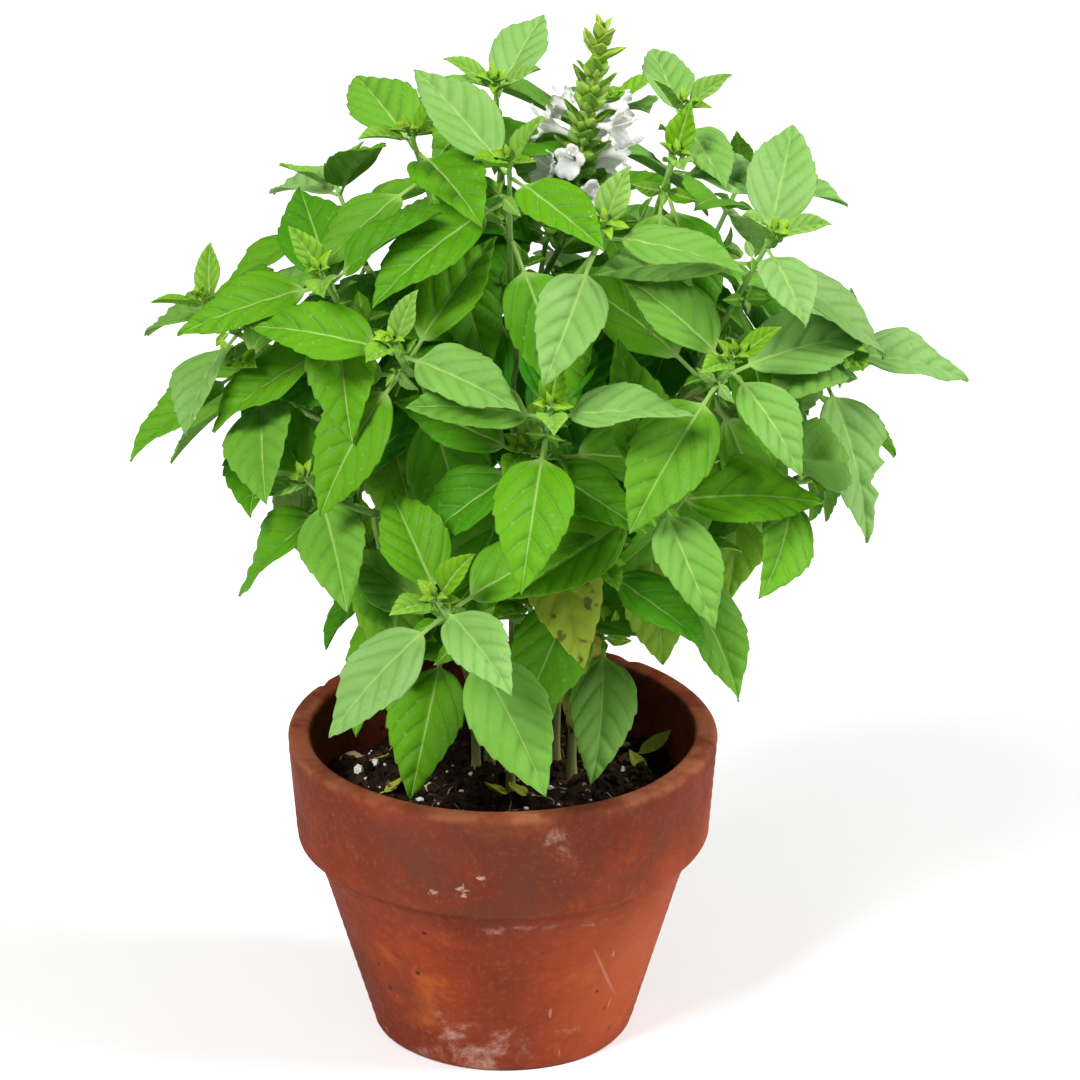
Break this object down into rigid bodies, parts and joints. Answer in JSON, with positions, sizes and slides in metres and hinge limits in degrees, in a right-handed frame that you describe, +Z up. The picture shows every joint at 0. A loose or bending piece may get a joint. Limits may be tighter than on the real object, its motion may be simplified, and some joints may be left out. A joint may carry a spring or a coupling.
{
  "type": "potted basil plant",
  "caption": "Basil plant growing in a terracotta pot: branching stems, toothed green leaves in opposite pairs and a white flower spike over dark soil. The pot rests on its flat base.",
  "frame": {"origin": "middle of the whole plant's footprint, on the ground under the pot", "axes": "+Z up from the ground to the flower spike, -Y towards the side the foliage leans to, +X to the right as seen from that side"},
  "size_m": [0.306, 0.2468, 0.3898],
  "materials": {
    "terracotta": "matte, unglazed, faint white mineral bloom",
    "soil": "rough, damp potting soil",
    "stem": "satin, green and soft",
    "leaf": "satin, slightly translucent",
    "calyx": "matte",
    "petal": "matte, thin and white"
  },
  "bodies": {
    "root": {"flower_1": "petal", "flower_2": "petal", "flower_3": "petal", "flower_4": "petal", "flower_5": "petal", "flower_spike": "calyx", "leaf_back_2a": "leaf", "leaf_back_2b": "leaf", "leaf_back_3b": "leaf", "leaf_back_far_left_2a": "leaf", "leaf_back_far_left_3b": "leaf", "leaf_back_far_left_4b": "leaf", "leaf_back_far_right_2a": "leaf", "leaf_back_far_right_3b": "leaf", "leaf_back_left_2a": "leaf", "leaf_back_left_3a": "leaf", "leaf_back_low_2a": "leaf", "leaf_back_low_3b": "leaf", "leaf_back_low_4b": "leaf", "leaf_back_low_right_2a": "leaf", "leaf_back_low_right_4b": "leaf", "leaf_back_right_2a": "leaf", "leaf_back_right_2b": "leaf", "leaf_back_right_3b": "leaf", "leaf_back_top_2a": "leaf", "leaf_back_top_4b": "leaf", "leaf_crown_2a": "leaf", "leaf_crown_back_2a": "leaf", "leaf_crown_back_4b": "leaf", "leaf_far_left_2a": "leaf", "leaf_far_right_2b": "leaf", "leaf_front_3a": "leaf", "leaf_front_low_2b": "leaf", "leaf_front_low_3a": "leaf", "leaf_front_low_4a": "leaf", "leaf_left_2b": "leaf", "leaf_left_low_2a": "leaf", "leaf_left_low_3b": "leaf", "leaf_low_centre_3a": "leaf", "leaf_low_far_right_2a": "leaf", "leaf_low_far_right_3b": "leaf", "leaf_low_left_3a": "leaf", "leaf_low_right_2b": "leaf", "leaf_right_2a": "leaf", "leaf_right_2b": "leaf", "leaf_right_inner_2b": "leaf", "leaf_upper_left_2a": "leaf", "leaf_upper_right_2a": "leaf", "pot": "terracotta", "soil": "soil", "stem_back_left": "stem", "stem_back_right": "stem", "stem_crown": "stem", "stem_crown_back": "stem", "stem_front": "stem", "stem_front_low": "stem", "stem_left": "stem", "stem_right": "stem", "stem_upper_left": "stem", "stem_upper_right": "stem"}
  },
  "joints": []
}
